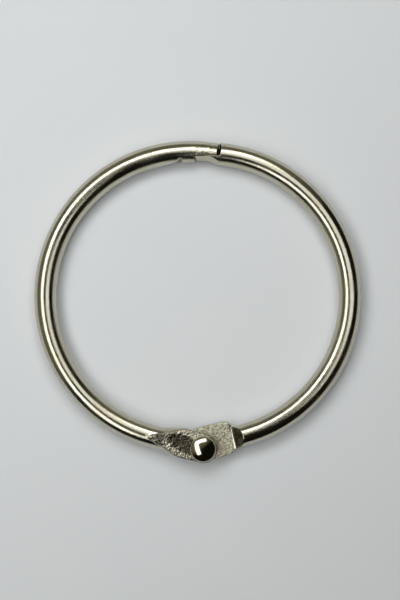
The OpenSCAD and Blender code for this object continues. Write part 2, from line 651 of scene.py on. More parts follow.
@dataclass
class HingeEnd:
    """The coined, stepped end of a half ring, up to the start of its arc.

    Attributes:
        bench: The wire bench.
        shape: The eye's sizes.
        crown_cut: Depth of the coined face below the wire's crown.
        crown_slope: Length of the slope down to the coined face.
        step_foot: Distance from the rivet to the foot of the step.
        step_run: Length of the step's slope.
        step_skew: Turn of the step's foot, in degrees.
        toe_skew: Turn of the shallow toe's foot, which widens it outwards.
        toe_slope: How far the toe runs for each unit that it rises.
        toe_pivot: Place across the arm of the point that the toe turns about.
        face_gap: Clearance between the two eyes.
        hole_r: Radius of the rivet's hole.
        seat_r: Radius of the rivet's seat, which the punch leaves free.
        grain: Grain of the coined face.
        lap_grain: How much of that grain's height the lap face has.
        lap_margin: How far short of the step the lap face's grain ends, and how far from
            the face's level it is still found.
        grain_fade: Height over which the coined grain fades out, at the step's foot and
            past the crown's slope.
        hollow_spread: How fast the painted shade deepens from the hollow's edge.
        slope_painted_shade: Painted shade on the crown's slope.
        step_painted_shade: Painted shade on the step's slope.
        painted_shade_edge: How sharply the step's painted shade ends.
        seam_deg: Angle past the arm's end at which the plain wire takes over.
        smoothing: How many times the formed end is smoothed.
    """

    bench: WireBench
    shape: EyeShape
    crown_cut: float = 0.2
    crown_slope: float = 2.8
    step_foot: float = 4.3
    step_run: float = 1.3
    step_skew: float = 4.0
    toe_skew: float = 6.0
    toe_slope: float = 5.3
    toe_pivot: float = 2.0
    face_gap: float = 0.04
    hole_r: float = 0.94
    seat_r: float = 1.8
    grain: Grain = Grain(height=0.13, size=0.26)
    lap_grain: float = 0.3
    lap_margin: tuple[float, float] = (0.1, 0.02)
    grain_fade: tuple[float, float] = (0.3, 0.06)
    # Painted shade in the dish, on the crown's slope and on the step's slope, written to the hollow
    # mask
    hollow_spread: float = 2.6
    slope_painted_shade: float = 0.8
    step_painted_shade: float = 0.7
    painted_shade_edge: float = 12.0
    seam_deg: float = 5.5
    smoothing: int = 7

    @property
    def low(self) -> float:
        """Height of the coined face."""
        return self.crown_cut - self.bench.layout.wire_r

    @property
    def high(self) -> float:
        """Height of the lap face."""
        return -self.face_gap / 2

    def seam_angle(self, side: Side) -> float:
        """Angle about the arc's centre at which the plain wire takes over."""
        return self.bench.layout.arm_angle(side) + side.turn * self.seam_deg

    def build(self, side: Side) -> bpy.types.Object:
        """Builds the end in its place on the ring, open towards the plain wire.

        Args:
            side: Which half it belongs to.

        Returns:
            The end.
        """
        to_ring = self.bench.layout.arm_to_ring(side)
        body = self._eye_body()
        apply_transform(body, to_ring)
        parts = [self._arm(side), body]
        for part in parts:
            for tool in self._cutters():
                apply_transform(tool, to_ring)
                combine(part, tool, "DIFFERENCE")
        end = self.bench.form(parts, f"{side.value}_hinge_end", self.smoothing)
        self._grain_faces(end, side)
        self.bench.trim(end, side, self.seam_angle(side), keep_above=side is Side.LEFT)
        return end

    def _arm(self, side: Side) -> bpy.types.Object:
        """The uncut wire of the arm.

        Args:
            side: Which half it belongs to.

        Returns:
            The wire, closed at both ends.
        """
        layout = self.bench.layout
        straight = layout.arm_length(side) - self.step_foot + layout.wire_r
        sweep = side.turn * (self.seam_deg + SPARE_DEG)
        return self.bench.arc(side, layout.arm_angle(side), sweep, straight, closed=True)

    def _cutters(self) -> list[bpy.types.Object]:
        """The tools that lap, coin and pierce the end.

        Returns:
            The tools, in the arm's own space.
        """
        lap = self._ramp_cutter(self.high, 1, self.step_run / self.bench.layout.wire_r)
        toe = self._ramp_cutter(self.high, 1, self.toe_slope)
        pivot = Vector((self.step_foot, self.toe_pivot, 0))
        apply_transform(toe, turn_about(pivot, -self.toe_skew))
        combine(lap, toe, "INTERSECT")
        apply_transform(lap, turn_about(Vector((self.step_foot, 0, 0)), -self.step_skew))
        crown = self._ramp_cutter(self.low, -1, self.crown_slope / self.crown_cut)
        tools = [lap, crown, disc(self.hole_r, (0, 0), self.low - 1, self.high + 1)]
        if self.shape.dish:
            punch = self.shape.dish.punch(self.low)
            seat = disc(self.seat_r, (0, 0), self.low - CUT_REACH / 2, self.high)
            combine(punch, seat, "DIFFERENCE")
            tools.append(punch)
        return tools

    def _ramp_cutter(self, level: float, towards: int, run: float) -> bpy.types.Object:
        """A block that reaches to the step's foot, with a slope that leads away from there.

        Args:
            level: Height of the block's working face.
            towards: 1 for a block above that face, -1 for one below it.
            run: How far the slope runs for each unit that it rises.

        Returns:
            The cutter.
        """
        foot = self.step_foot
        far = level + towards * CUT_REACH
        low, high = min(level, far), max(level, far)
        cutter = block((-CUT_REACH, -CUT_REACH, low), (foot, CUT_REACH, high))
        with editing(cutter):
            select_vertices(cutter, lambda co: co.x > foot - TOUCH and abs(co.z - far) < TOUCH)
            bpy.ops.transform.translate(value=(run * CUT_REACH, 0, 0))
        return cutter

    def _eye_body(self) -> bpy.types.Object:
        """The eye's plate, drawn out to the round wire if it blends into it.

        Returns:
            The closed plate, in the arm's own space.
        """
        pads = [disc(radius, place, self.low, self.high) for radius, place in self.shape.pads]
        for pad in pads:
            round_rim(pad, self.low, self.shape.rim)
            round_rim(pad, self.high, self.shape.lap_rim)
        if self.shape.blend_end:
            bpy.ops.mesh.primitive_circle_add(
                vertices=self.bench.sides,
                radius=self.bench.layout.wire_r,
                location=(self.shape.blend_end, 0, 0),
                rotation=(0, math.pi / 2, 0),
            )
            pads.append(bpy.context.active_object)
            apply_transform(pads[-1])
        body = join("eye_body", *pads)
        with editing(body):
            bpy.ops.mesh.convex_hull()
        return body

    def _grain_faces(self, end: bpy.types.Object, side: Side) -> None:
        """Marks the coined and the lapped face, and roughens them with the punch's grain.

        Args:
            end: The formed end.
            side: Which half it belongs to.
        """
        to_arm = self.bench.layout.arm_to_ring(side).inverted()
        turn = to_arm.to_3x3()
        places = [(to_arm @ vert.co, (turn @ vert.normal).z) for vert in end.data.vertices]
        coined = [self._coined_at(place, facing) for place, facing in places]
        lapped = [self._lapped_at(place, facing) for place, facing in places]
        # The hollow mask holds painted shade: in the dish, on the crown's slope and on the step's
        # slope
        hollow = [
            max(share * self._dish_shade_at(place), self._step_shade_at(place))
            for share, (place, _) in zip(coined, places)
        ]
        for name, values in (("coined", coined), ("lapped", lapped), ("hollow", hollow)):
            write_mask(end, name, values)
        roughen(end, [a + self.lap_grain * b for a, b in zip(coined, lapped)], self.grain)

    def _coined_at(self, place: Vector, facing: float) -> float:
        """How far the coined face's grain covers a place.

        Args:
            place: The place, in the arm's own space.
            facing: How far the skin there looks up, from -1 to 1.

        Returns:
            The cover, from 0 to 1.
        """
        past = max(0.0, place.x - self.step_foot) / self.crown_slope
        height = place.z - self.low + self.crown_cut * past
        if self.shape.dish:
            height -= max(0.0, self.shape.dish.depth_at(place.x, place.y))
        near, far = self.grain_fade
        fade = near + (far - near) * min(1.0, past)
        return clamp(1.6 * (1 - height / fade)) * level_share(-facing)

    def _dish_shade_at(self, place: Vector) -> float:
        """How much painted shade a place on the coined face has.

        Args:
            place: The place, in the arm's own space.

        Returns:
            The painted shade, from 0 to 1.
        """
        dish = self.shape.dish
        if not dish:
            return 0.0
        past = (place.x - self.step_foot) / self.crown_slope
        depth = dish.depth_at(place.x, place.y) / dish.depth
        # It comes in over the slope's first half and goes out over its last quarter
        slope = self.slope_painted_shade * clamp(3 * past - 0.6) * clamp(4 * (1 - past))
        return clamp(max(self.hollow_spread * depth, slope))

    def _step_shade_at(self, place: Vector) -> float:
        """How much painted shade a place on the step's slope has.

        Args:
            place: The place, in the arm's own space.

        Returns:
            The painted shade, from 0 to 1.
        """
        edge = self.painted_shade_edge
        rise = (place.z - self.high) / (self.bench.layout.wire_r - self.high)
        off = place.x - self.step_foot - rise * self.step_run
        ends = clamp(edge * rise - 0.6) * clamp(edge * (1 - rise))
        return self.step_painted_shade * clamp(2.0 - edge * abs(off)) * ends

    def _lapped_at(self, place: Vector, facing: float) -> float:
        """How far the lap face's grain covers a place.

        Args:
            place: The place, in the arm's own space.
            facing: How far the skin there looks up, from -1 to 1.

        Returns:
            The cover, from 0 to 1.
        """
        margin, band = self.lap_margin
        if place.x < self.step_foot - margin and abs(place.z - self.high) < band:
            return level_share(facing)
        return 0.0


@dataclass(frozen=True)
class Press:
    """One tool's mark on the inner side of the lock.

    Attributes:
        ends: Where its flat begins and ends, from left to right.
        depth: How far it pressed the side outwards.
        runs: Lengths of the slopes at its two ends.
    """

    ends: tuple[float, float]
    depth: float
    runs: tuple[float, float]


PRESSES = {
    Side.LEFT: (Press((-3.0, -2.3), 0.4, (0.55, 0.12)), Press((-2.3, 1.0), 0.17, (0.1, 0.1))),
    Side.RIGHT: (Press((-0.9, 1.04), 0.4, (0.1, 1.0)),),
}


@dataclass
class LockEnd:
    """The lapped ends of both halves at the lock.

    Attributes:
        bench: The wire bench.
        seam_x: Place of the outer seam.
        seam_gap: Width of the open seam at the wire's crown.
        seam_foot: Its width below the open notch.
        seam_floor: Height of the notch's floor.
        seam_painted_shade: How much painted shade the seam's walls have, from 0 to 1.
        lap_t: Thickness of the outer lap.
        lap_gap: Clearance between the lapped faces.
        tongue_len: Length of the tongue from the seam.
        tongue_slant: Slant of the tongue's tip.
        tip_gap: Clearance beyond the tip.
        lock_t: Thickness of the closed lock.
        bevel: Where the tongue's bevel begins and ends, from left to right.
        bevel_tilt: How far the bevel's face is tilted from level, in degrees.
        dent_r: Radius of the dent beside the lap's nose.
        dent_at: Place of that dent.
        wear: Grain of the lap's worn skin.
        wear_from: Where the worn skin begins, from left to right.
        reach: How far the formed end goes on past the middle on each side.
        smoothing: How many times the formed end is smoothed.
    """

    bench: WireBench
    seam_x: float = 2.72
    seam_gap: float = 0.5
    seam_foot: float = 0.03
    seam_floor: float = 0.0
    # Painted shade on the seam's walls
    seam_painted_shade: float = 0.9
    lap_t: float = 1.75
    lap_gap: float = 0.06
    tongue_len: float = 2.9
    tongue_slant: float = 0.42
    tip_gap: float = 0.2
    lock_t: float = 2.5
    bevel: tuple[float, float] = (-0.9, 0.75)
    bevel_tilt: float = 58.0
    dent_r: float = 0.32
    dent_at: tuple[float, float] = (-2.45, 18.2)
    wear: Grain = Grain(height=0.04, size=0.35)
    wear_from: float = -1.4
    reach: tuple[float, float] = (-4.7, 4.4)
    smoothing: int = 4

    def outside_y(self, x: float) -> float:
        """Place in plan of the wire's outside on the left half.

        Args:
            x: The place to the right of the ring's middle.

        Returns:
            The place beyond the ring's middle.
        """
        layout = self.bench.layout
        outer = layout.radius[Side.LEFT] + layout.wire_r
        return math.sqrt(outer**2 - (x - layout.centre[Side.LEFT].x) ** 2)

    @property
    def lap_r(self) -> float:
        """Radius of the lapped faces about the rivet."""
        at_seam = Vector((self.seam_x, self.outside_y(self.seam_x), 0))
        return (at_seam - self.bench.layout.rivet).length - self.lap_t

    def seam_angle(self, side: Side) -> float:
        """Angle about the arc's centre at which the plain wire takes over."""
        return self.bench.layout.arc_angle(side, self.reach[side is Side.RIGHT])

    def seam_turn(self, shift: float = 0.0) -> Matrix:
        """The turn of the seam's plane about the ring's middle, moved by a shift."""
        mean_r = sum(self.bench.layout.radius.values()) / 2
        return Matrix.Rotation(-math.asin((self.seam_x + shift) / mean_r), 4, "Z")

    def build(self, side: Side) -> bpy.types.Object:
        """Builds one half's end of the lock, open towards the plain wire.

        Args:
            side: Which half it belongs to.

        Returns:
            The end.
        """
        parts = self._lap() if side is Side.LEFT else self._tongue()
        for part in parts:
            for press in PRESSES[side]:
                combine(part, self._press_tool(press), "DIFFERENCE")
        if side is Side.LEFT:
            dent = disc(self.dent_r, self.dent_at, -CUT_REACH, CUT_REACH)
            combine(parts[0], dent, "DIFFERENCE")
        end = self.bench.form(parts, f"{side.value}_lock_end", self.smoothing)
        if side is Side.LEFT:
            weights = [clamp(vert.co.x - self.wear_from) for vert in end.data.vertices]
            roughen(end, weights, self.wear)
        self._paint_seam_shade(end, side)
        self.bench.trim(end, side, self.seam_angle(side), keep_above=side is Side.RIGHT)
        return end

    def _paint_seam_shade(self, end: bpy.types.Object, side: Side) -> None:
        """Paints shade on the walls of the seam.

        Args:
            end: The formed end.
            side: Which half it belongs to.
        """
        layout, lap_r = self.bench.layout, self.lap_r
        along = self.seam_turn().to_3x3() @ Vector((1, 0, 0))

        def seam_shade_at(place: Vector) -> float:
            """How much painted shade a place on the end has.

            Args:
                place: The place, on the ring.

            Returns:
                The painted shade, from 0 on the wire's own skin and away from the seam.
            """
            beyond_lap = (place.xy - layout.rivet.xy).length > lap_r
            if not beyond_lap or abs(place.dot(along)) > self.seam_gap:
                return 0.0
            off = (place.xy - layout.centre[side].xy).length - layout.radius[side]
            return self.seam_painted_shade * clamp(20 * (layout.wire_r - math.hypot(off, place.z)) - 0.4)

        # The seam's painted shade goes into the hollow mask
        write_mask(end, "hollow", [seam_shade_at(vert.co) for vert in end.data.vertices])

    def _blank(self, side: Side) -> bpy.types.Object:
        """The uncut wire of one half's end.

        Args:
            side: Which half it belongs to.

        Returns:
            The wire, closed at both ends.
        """
        tip_x = self.seam_x + 1 if side is Side.LEFT else self.seam_x - self.tongue_len - 1
        start = self.seam_angle(side) - side.turn * SPARE_DEG
        stop = self.bench.layout.arc_angle(side, tip_x)
        return self.bench.arc(side, start, stop - start, closed=True)

    def _right_of_seam(self, side: Side) -> list[bpy.types.Object]:
        """What lies to the right of one side of the seam.

        Args:
            side: Whose side of the seam it is.

        Returns:
            The block at the seam's close foot, and the one at its open notch.
        """
        half_flare = (self.seam_gap - self.seam_foot) / 2
        lean = math.atan(half_flare / (self.bench.layout.wire_r - self.seam_floor))
        inner_y, outer_y = LOCK_BAND
        tools = []
        for angle in (0.0, side.turn * lean):
            tool = block((0, inner_y, -CUT_REACH), (CUT_REACH * 2, outer_y, CUT_REACH))
            floor = Matrix.Translation((0, 0, self.seam_floor))
            apply_transform(tool, floor @ Matrix.Rotation(angle, 4, "Y"))
            apply_transform(tool, self.seam_turn(side.turn * self.seam_foot / 2))
            tools.append(tool)
        return tools

    def _under_lap(self, clearance: float, tip_shift: float) -> bpy.types.Object:
        """What lies inside the lapped face and to the right of the tongue's tip.

        Args:
            clearance: How far it reaches past the middle of the lapped faces' gap.
            tip_shift: How far it is moved to the right of the tongue's tip.

        Returns:
            The tool.
        """
        rivet = self.bench.layout.rivet
        tip_x = self.seam_x - self.tongue_len
        tip_y = rivet.y + math.sqrt(self.lap_r**2 - (tip_x - rivet.x) ** 2)
        round_tool = disc(
            self.lap_r + clearance, (rivet.x, rivet.y), -CUT_REACH, CUT_REACH, sides=FINE_SIDES
        )
        near_x = tip_x + tip_shift
        keep = block(
            (near_x, tip_y - CUT_REACH, -CUT_REACH),
            (tip_x + CUT_REACH, tip_y + CUT_REACH, CUT_REACH),
        )
        tongue_t = self.lock_t - self.lap_t
        lean = math.degrees(math.atan2(self.tongue_slant, tongue_t))
        apply_transform(keep, turn_about(Vector((near_x, tip_y - tongue_t, 0)), lean))
        combine(keep, round_tool, "INTERSECT")
        return keep

    def _press_tool(self, press: Press) -> bpy.types.Object:
        """The tool that pressed the inner side of the lock outwards between two slopes.

        Args:
            press: The mark that it leaves.

        Returns:
            The tool.
        """
        face = self.outside_y(0) - 2 * self.bench.layout.wire_r + press.depth
        low = face - CUT_REACH
        tool = block((press.ends[0], low, -CUT_REACH), (press.ends[1], face, CUT_REACH))
        with editing(tool):
            for end, run, sign in zip(press.ends, press.runs, (-1, 1)):
                select_vertices(tool, lambda co: abs(co.x - end) < TOUCH and co.y < low + 1)
                spread = sign * run / press.depth * CUT_REACH
                bpy.ops.transform.translate(value=(spread, 0, 0))
        round_face = disc(face, (0, 0), -CUT_REACH, CUT_REACH, sides=FINE_SIDES)
        combine(tool, round_face, "INTERSECT")
        return tool

    def _bevel_tool(self) -> bpy.types.Object:
        """The tool that bevels the tongue's upper inner edge, from the lap's face down.

        Returns:
            The tool.
        """
        start, stop = self.bevel
        tool = block((start, -CUT_REACH, 0), (stop, CUT_REACH, CUT_REACH))
        with editing(tool):
            select_vertices(tool, lambda co: co.x > stop - TOUCH and co.z > 1)
            bpy.ops.transform.translate(value=(3 * CUT_REACH, 0, 0))
        wire_r = self.bench.layout.wire_r
        inside = self.lap_t + self.lap_gap
        top = Vector((0, self.outside_y(0) - self.lap_t - self.lap_gap, 0))
        top.z = math.sqrt(wire_r**2 - (inside - wire_r) ** 2)
        tilt = Matrix.Rotation(math.radians(self.bevel_tilt), 4, "X")
        apply_transform(tool, Matrix.Translation(top) @ tilt)
        return tool

    def _lap(self) -> list[bpy.types.Object]:
        """The left half's end: the outer lap with the notch behind it.

        Returns:
            Its one closed part.
        """
        wire = self._blank(Side.LEFT)
        for tool in self._right_of_seam(Side.LEFT):
            combine(wire, tool, "DIFFERENCE")
        combine(wire, self._under_lap(self.lap_gap / 2, -self.tip_gap), "DIFFERENCE")
        return [wire]

    def _tongue(self) -> list[bpy.types.Object]:
        """The right half's end: the full wire up to the seam and the thin tongue.

        Returns:
            Its two closed parts.
        """
        shoulder = self._blank(Side.RIGHT)
        for tool in self._right_of_seam(Side.RIGHT):
            combine(shoulder, tool, "INTERSECT")
        tongue = self._blank(Side.RIGHT)
        combine(tongue, self._under_lap(-self.lap_gap / 2, 0), "INTERSECT")
        combine(tongue, self._bevel_tool(), "DIFFERENCE")
        return [shoulder, tongue]


@dataclass
class HalfRing:
    """One half ring: hinge end, plain wire and lock end in one skin.

    Attributes:
        side: Which half it is.
        bench: The wire bench.
        hinge: Its hinge end.
        lock: The lock.
    """

    side: Side
    bench: WireBench
    hinge: HingeEnd
    lock: LockEnd

    def build(self) -> bpy.types.Object:
        """Builds the half in the frame.

        Returns:
            The finished mesh.
        """
        side = self.side
        gap = side.turn * math.degrees(self.bench.overlap / self.bench.layout.radius[side])
        hinge_seam = self.hinge.seam_angle(side)
        lock_seam = self.lock.seam_angle(side)
        ends = self.hinge.build(side), self.lock.build(side)
        start, stop = hinge_seam + gap, lock_seam - gap
        if side is Side.LEFT and start < stop:
            start += 360
        plain = self.bench.arc(side, start, stop - start)
        half = join(f"{side.value}_half_wire", plain, *ends)
        for middle in (hinge_seam + gap / 2, lock_seam - gap / 2):
            self.bench.bridge(half, side, middle)
        with editing(half):
            bpy.ops.mesh.normals_make_consistent(inside=False)
        select_only(half)
        bpy.ops.object.shade_smooth()
        self.bench.layout.to_frame(half)
        return half


# ---------------------------------------------------------------------------------------
# Rivet


@dataclass
class Rivet:
    """The rivet: domed head on a thin flange, shank, and peened tail.

    Attributes:
        layout: Where the wires lie.
        head_r: Radius of the flange below the head.
        side_r: Radius of the head's upright side.
        crown_r: Radius of curvature of the head's crown.
        crown_edge: Distance from the axis to where the crown turns down.
        flange_h: Height of the flange.
        flange_edge: Size of the flange's small chamfers.
        foot: Width and height of the small fillet between the flange and the head's side.
        shank_r: Radius of the shank.
        tail_r: Radius of the peened tail.
        tail_flat_r: Radius of the tail's flat.
        tail_edge: Size of the chamfer above the tail's side.
        tail_side: Height of the tail's upright side.
        dimple: Radius and height above the flat of the rings of the tail's dimple.
        eye_t: Height of the eyes' coined faces above and below the wire's middle.
        face_gap: Clearance above the tail.
        sides: Number of faces round the rivet.
        round_steps: Number of faces up a rounded shoulder.
        crown_steps: Number of faces from the crown's edge to the axis.
        crease_deg: Least angle between faces that is left sharp.
    """

    layout: Layout
    head_r: float = 1.75
    side_r: float = 1.71
    crown_r: float = 3.0
    crown_edge: float = 1.58
    flange_h: float = 0.1
    flange_edge: float = 0.03
    foot: tuple[float, float] = (0.01, 0.02)
    shank_r: float = 0.9
    tail_r: float = 1.5
    tail_flat_r: float = 1.0
    tail_edge: float = 0.04
    tail_side: float = 0.02
    dimple: tuple[tuple[float, float], ...] = ((0.25, 0.05), (0.55, 0.045), (0.8, 0.015))
    eye_t: float = 1.3
    face_gap: float = 0.04
    sides: int = 128
    round_steps: int = 12
    crown_steps: int = 24
    crease_deg: float = 50.0

    def _head(self, top: float) -> list[tuple[float, float]]:
        """The head's profile from its foot to its top.

        Args:
            top: Height of its top.

        Returns:
            Radius and height of each ring of the profile.
        """
        edge, brim = self.flange_edge, self.eye_t + self.flange_h
        points = [(self.head_r - edge, self.eye_t), (self.head_r, self.eye_t + edge)]
        points += [(self.head_r, brim - edge), (self.head_r - edge, brim)]
        points += [(self.side_r + self.foot[0], brim), (self.side_r, brim + self.foot[1])]
        lean = math.asin(self.crown_edge / self.crown_r)
        shoulder = (self.side_r - self.crown_edge) / (1 - math.sin(lean))
        edge_z = top - self.crown_r * (1 - math.cos(lean))
        for step in range(self.round_steps + 1):
            tilt = math.pi / 2 + (lean - math.pi / 2) * step / self.round_steps
            radius = self.crown_edge + shoulder * (math.sin(tilt) - math.sin(lean))
            points.append((radius, edge_z - shoulder * (math.cos(lean) - math.cos(tilt))))
        for step in range(1, self.crown_steps):
            tilt = lean * (1 - step / self.crown_steps)
            height = top - self.crown_r * (1 - math.cos(tilt))
            points.append((self.crown_r * math.sin(tilt), height))
        return points

    def _tail(self, low: float) -> list[tuple[float, float]]:
        """The tail's profile from its middle to the shank.

        Args:
            low: Height of its flat.

        Returns:
            Radius and height of each ring of the profile.
        """
        high = -self.eye_t - self.face_gap
        side_top = high - self.tail_edge
        points = [(radius, low + height) for radius, height in self.dimple]
        for step in range(self.round_steps + 1):
            turn = math.pi / 2 * step / self.round_steps
            reach = self.tail_flat_r + (self.tail_r - self.tail_flat_r) * math.sin(turn)
            rise = side_top - self.tail_side - low
            points.append((reach, low + rise * (1 - math.cos(turn))))
        return points + [(self.tail_r, side_top), (self.tail_r - self.tail_edge, high)]

    def build(self) -> bpy.types.Object:
        """Draws the rivet's profile up from the tail's middle, in the frame.

        Returns:
            The finished mesh.
        """
        low, high = (v.z / MM - self.layout.origin.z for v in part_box("rivet"))
        shank = [(self.shank_r, -self.eye_t - self.face_gap), (self.shank_r, self.eye_t)]
        profile = self._tail(low) + shank + self._head(high)
        axis = self.layout.rivet
        bpy.ops.mesh.primitive_circle_add(
            vertices=self.sides,
            radius=profile[0][0],
            fill_type="NOTHING",
            location=(axis.x, axis.y, profile[0][1]),
        )
        rivet = join("rivet_dressed", bpy.context.active_object)
        apply_transform(rivet)
        with editing(rivet):
            bpy.ops.mesh.edge_face_add()
            bpy.ops.mesh.select_all(action="SELECT")
            for (old_r, old_z), (new_r, new_z) in zip(profile, profile[1:]):
                rise = (0, 0, new_z - old_z)
                bpy.ops.mesh.extrude_region_move(TRANSFORM_OT_translate={"value": rise})
                growth = (new_r / old_r, new_r / old_r, 1)
                bpy.ops.transform.resize(value=growth, center_override=(axis.x, axis.y, new_z))
            bpy.ops.mesh.select_all(action="SELECT")
            bpy.ops.mesh.normals_make_consistent(inside=False)
        select_only(rivet)
        bpy.ops.object.shade_smooth_by_angle(angle=math.radians(self.crease_deg))
        self.layout.to_frame(rivet)
        return rivet


# ---------------------------------------------------------------------------------------
# Finishes


@dataclass
class NodeTree:
    """Adds nodes to a material's, a world's or a group's tree.

    Attributes:
        tree: The tree.
    """

    tree: bpy.types.NodeTree

    def feed(self, node: bpy.types.Node, values: dict[str | int, object]) -> bpy.types.Node:
        """Sets or links a node's inputs.

        Args:
            node: The node.
            values: Input sockets' values, or the output sockets that feed them.

        Returns:
            The node.
        """
        for key, value in values.items():
            if isinstance(value, bpy.types.NodeSocket):
                self.tree.links.new(value, node.inputs[key])
            else:
                node.inputs[key].default_value = value
        return node

    def add(
        self, kind: str, values: dict[str | int, object] | None = None, **settings: object
    ) -> bpy.types.Node:
        """Adds a node.

        Args:
            kind: The node's type.
            values: Input sockets' values, or the output sockets that feed them.
            settings: The node's own properties.

        Returns:
            The node.
        """
        node = self.tree.nodes.new(kind)
        for name, value in settings.items():
            setattr(node, name, value)
        return self.feed(node, values or {})

    def group(self, tree: bpy.types.NodeTree, values: dict[str, object]) -> bpy.types.NodeOutputs:
        """Adds a node that uses a group's tree, and returns its outputs."""
        return self.add("ShaderNodeGroup", values, node_tree=tree).outputs

    def mask(self, name: str) -> bpy.types.NodeSocket:
        """Adds a node that reads one of the mesh's masks, and returns its value."""
        return self.add("ShaderNodeAttribute", attribute_name=name).outputs["Fac"]

    def math(self, operation: str, *terms: object) -> bpy.types.NodeSocket:
        """Adds a Math node and returns its result."""
        return self.add("ShaderNodeMath", dict(enumerate(terms)), operation=operation).outputs[0]

    def remap(
        self, value: bpy.types.NodeSocket, old: tuple[float, float], new: tuple[float, float]
    ) -> bpy.types.NodeSocket:
        """Adds a smooth Map Range node and returns its result."""
        values = {"Value": value, 1: old[0], 2: old[1], 3: new[0], 4: new[1]}
        return self.add("ShaderNodeMapRange", values, interpolation_type="SMOOTHSTEP").outputs[0]

    def mix(self, factor: object, first: object, second: object) -> bpy.types.NodeSocket:
        """Adds a number Mix node and returns its result."""
        return self.add("ShaderNodeMix", {0: factor, 2: first, 3: second}).outputs[0]

    def mix_colour(self, factor: object, first: object, second: object) -> bpy.types.NodeSocket:
        """Adds a colour Mix node and returns its result."""
        values = {0: factor, 6: first, 7: second}
        return self.add("ShaderNodeMix", values, data_type="RGBA").outputs[2]


def new_material(name: str) -> tuple[bpy.types.Material, NodeTree, bpy.types.Node]:
    """Starts a material.

    Args:
        name: Its name.

    Returns:
        The material, its node tree and its shader.
    """
    material = bpy.data.materials.new(name)
    material.use_nodes = True
    return material, NodeTree(material.node_tree), material.node_tree.nodes["Principled BSDF"]


def new_group(
    name: str, inputs: dict[str, float], outputs: list[str]
) -> tuple[NodeTree, bpy.types.Node, dict[str, object]]:
    """Starts a shader node group of a pattern that has a place and a size.

    Args:
        name: The group's name.
        inputs: Its number inputs and their defaults, Size among them.
        outputs: Its number outputs.

    Returns:
        The group's tree, its input node, and the place and scale for a texture node.
    """
    tree = bpy.data.node_groups.new(name, "ShaderNodeTree")
    sockets = tree.interface
    sockets.new_socket("Place", in_out="INPUT", socket_type="NodeSocketVector")
    for key, value in inputs.items():
        socket = sockets.new_socket(key, in_out="INPUT", socket_type="NodeSocketFloat")
        socket.default_value = value
    for key in outputs:
        sockets.new_socket(key, in_out="OUTPUT", socket_type="NodeSocketFloat")
    group = NodeTree(tree)
    source = group.add("NodeGroupInput")
    scale = group.math("DIVIDE", 1.0, source.outputs["Size"])
    return group, source, {"Vector": source.outputs["Place"], "Scale": scale}


@dataclass(frozen=True)
class PlatingGroups:
    """The node groups that all the plated finishes share.

    Attributes:
        clouds: Slow variation of the plating.
        peel: Fine unevenness of a plated drawn surface.
        stipple: Pits and grains of a coined surface.
    """

    clouds: bpy.types.NodeTree
    peel: bpy.types.NodeTree
    stipple: bpy.types.NodeTree

    @classmethod
    def create(cls) -> "PlatingGroups":
        """Makes the groups."""
        return cls(cls._clouds(), cls._peel(), cls._stipple())

    @staticmethod
    def _clouds() -> bpy.types.NodeTree:
        """Makes the slow cloudy variation, from 0 to 1.

        Returns:
            The group.
        """
        group, _, pattern = new_group("plating_clouds", {"Size": 4.0}, ["Cloud"])
        noise = group.add("ShaderNodeTexNoise", pattern | {"Detail": 3.0}).outputs[0]
        group.add("NodeGroupOutput", {"Cloud": group.remap(noise, (0.3, 0.7), (0.0, 1.0))})
        return group.tree

    @staticmethod
    def _peel() -> bpy.types.NodeTree:
        """Makes the height of the fine unevenness.

        Returns:
            The group.
        """
        inputs = {"Size": 0.3, "Strength": 1.0}
        group, source, pattern = new_group("plating_peel", inputs, ["Height"])
        fine = group.add("ShaderNodeTexNoise", pattern | {"Detail": 2.0}).outputs[0]
        height = group.math("MULTIPLY", fine, source.outputs["Strength"])
        group.add("NodeGroupOutput", {"Height": height})
        return group.tree

    @staticmethod
    def _stipple() -> bpy.types.NodeTree:
        """Makes the coined grain's height for a strength of 1, and a mask of its pits.

        Returns:
            The group.
        """
        group, _, pattern = new_group("coined_stipple", {"Size": 0.16}, ["Height", "Pits"])
        cells = group.add("ShaderNodeTexVoronoi", pattern, feature="SMOOTH_F1")
        grain = group.add("ShaderNodeTexNoise", pattern | {"Detail": 2.0})
        both = group.math("ADD", cells.outputs["Distance"], grain.outputs[0])
        pits = group.remap(both, (0.95, 0.6), (0.0, 1.0))
        group.add("NodeGroupOutput", {"Height": both, "Pits": pits})
        return group.tree


